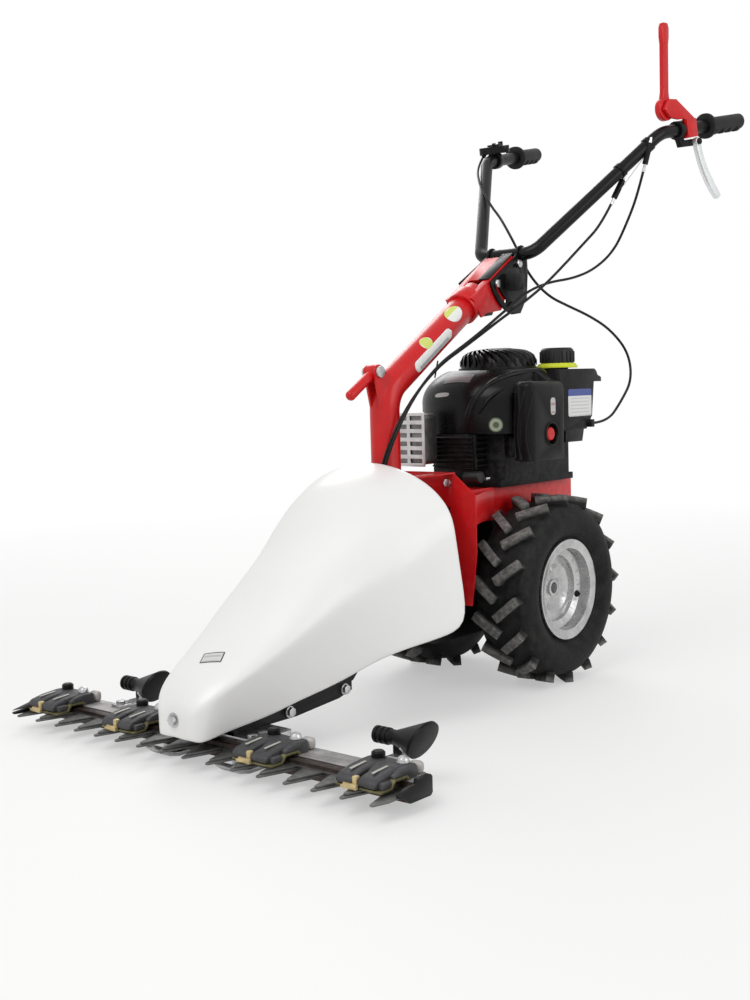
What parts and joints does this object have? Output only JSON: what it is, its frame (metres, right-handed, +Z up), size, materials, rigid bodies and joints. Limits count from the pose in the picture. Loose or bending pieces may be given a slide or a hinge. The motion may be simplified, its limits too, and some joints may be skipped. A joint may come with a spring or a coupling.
{
  "type": "two-wheeled brush mower with a reciprocating cutter bar",
  "caption": "Walk-behind two-wheeled brush mower: white front cover, toothed cutter bar with moving knife, engine over the axle, raked column and V handlebar.",
  "frame": {"origin": "on the ground under the middle of the machine's bounding box", "axes": "+Z up, -Y forward (towards the cutter bar), +X the machine's left"},
  "size_m": [0.784, 1.3228, 1.1971],
  "materials": {
    "cover_white": "smooth satin-gloss moulding",
    "black_plastic": "fine grained",
    "black_paint": "satin paint",
    "red_paint": "gloss paint",
    "silver_paint": "satin silver paint",
    "zinc_plate": "bright zinc plate",
    "dark_casting": "rough dark casting",
    "tyre_rubber": "ribbed lugs with dusty edges",
    "grip_rubber": "soft matt",
    "blade_steel": "ground, with darker heat-treated flats",
    "bronze_wear": "dull bronze",
    "bright_lever": "polished",
    "cable_sheath": "smooth sheath",
    "tank_plastic": "grained",
    "red_rubber": "soft dome",
    "cap_plastic": "ribbed",
    "engine_alloy": "as cast"
  },
  "bodies": {
    "chassis": {"arm_left": "black_paint", "arm_right": "black_paint", "bar_beam": "zinc_plate", "bar_knob_left": "black_plastic", "bar_knob_right": "black_plastic", "blade_holder_1": "dark_casting", "blade_holder_2": "dark_casting", "blade_holder_3": "dark_casting", "blade_holder_4": "dark_casting", "blower_housing": "black_plastic", "clutch_cable": "cable_sheath", "cover_strap": "zinc_plate", "drive_cable": "cable_sheath", "drive_housing": "black_paint", "end_shoe_left": "black_paint", "end_shoe_right": "black_paint", "engine_block": "engine_alloy", "engine_deck": "red_paint", "filter_cover": "black_plastic", "frame_bolts": "zinc_plate", "front_cover": "cover_white", "front_panel": "red_paint", "fuel_tank": "tank_plastic", "gearbox": "engine_alloy", "head_bolts": "zinc_plate", "head_bracket": "red_paint", "knob_brackets": "zinc_plate", "lower_blade": "blade_steel", "mount_plate": "zinc_plate", "muffler": "engine_alloy", "muffler_guard": "silver_paint", "recoil_dome": "black_plastic", "skid_left": "zinc_plate", "skid_right": "zinc_plate", "steering_column": "red_paint", "throttle_cable": "cable_sheath", "wear_pads": "bronze_wear"},
    "wheel_set": {"rim_left": "silver_paint", "rim_right": "silver_paint", "tyre_left": "tyre_rubber", "tyre_right": "tyre_rubber", "axle": "zinc_plate"},
    "knife": {"upper_blade": "blade_steel"},
    "knife_drive": {"knife_crank": "blade_steel"},
    "engine_rotor": {"crankshaft": "blade_steel"},
    "handlebar_group": {"handlebar": "black_paint", "handlebar_yoke": "black_paint", "grip_left": "grip_rubber", "grip_right": "grip_rubber", "lever_bracket": "red_paint", "lever_perch": "black_plastic", "throttle_housing": "black_plastic", "cable_hangers": "black_plastic"},
    "clutch_hand_lever": {"clutch_lever": "red_paint"},
    "drive_hand_lever": {"drive_lever": "bright_lever"},
    "throttle_thumb_lever": {"throttle_lever": "black_plastic"},
    "selector": {"selector_lever": "red_paint"},
    "fuel_cap_turn": {"fuel_cap": "cap_plastic"},
    "primer": {"primer_bulb": "red_rubber"}
  },
  "joints": [
    {"name": "wheel_roll", "type": "hinge", "parent": "chassis", "child": "wheel_set", "pos_m": [0, 0.1165, 0.168], "axis": [1, 0, 0], "continuous": true},
    {"name": "knife_stroke", "type": "slide", "parent": "chassis", "child": "knife", "axis": [1, 0, 0], "range_m": [-0.025, 0.025]},
    {"name": "knife_drive_spin", "type": "hinge", "parent": "chassis", "child": "knife_drive", "pos_m": [0, -0.5435, 0.05], "axis": [0, 0, 1], "continuous": true},
    {"name": "engine_spin", "type": "hinge", "parent": "chassis", "child": "engine_rotor", "pos_m": [0, 0.1565, 0.4], "axis": [0, 0, 1], "continuous": true},
    {"name": "handlebar_tilt", "type": "hinge", "parent": "chassis", "child": "handlebar_group", "pos_m": [0, 0.1765, 0.75329], "axis": [1, 0, 0], "range_deg": [-30, 0], "deforming": ["clutch_cable", "drive_cable", "throttle_cable"]},
    {"name": "clutch_lever_turn", "type": "hinge", "parent": "handlebar_group", "child": "clutch_hand_lever", "pos_m": [0.20196, 0.42516, 1.03906], "axis": [0.9862, -0.1657, 0], "range_deg": [-55, 0]},
    {"name": "drive_lever_pull", "type": "hinge", "parent": "handlebar_group", "child": "drive_hand_lever", "pos_m": [0.22431, 0.50811, 0.98689], "axis": [0.9862, -0.1657, 0], "range_deg": [0, 40], "stiffness_Nm_per_rad": 0.8, "springref_deg": -20.05},
    {"name": "throttle_turn", "type": "hinge", "parent": "handlebar_group", "child": "throttle_thumb_lever", "pos_m": [-0.20579, 0.44793, 1.0303], "axis": [0.0316, -0.1878, 0.9817], "range_deg": [-35, 35]},
    {"name": "selector_turn", "type": "hinge", "parent": "chassis", "child": "selector", "pos_m": [0, -0.1995, 0.56], "axis": [1, 0, 0], "range_deg": [-35, 0]},
    {"name": "fuel_cap_turn", "type": "hinge", "parent": "chassis", "child": "fuel_cap_turn", "pos_m": [0.095, 0.2085, 0.58], "axis": [0, 0, 1], "range_deg": [-90, 0]},
    {"name": "primer_push", "type": "slide", "parent": "chassis", "child": "primer", "axis": [-1, 0, 0], "range_m": [0, 0.005], "stiffness_N_per_m": 400, "springref_m": -0.002}
  ]
}
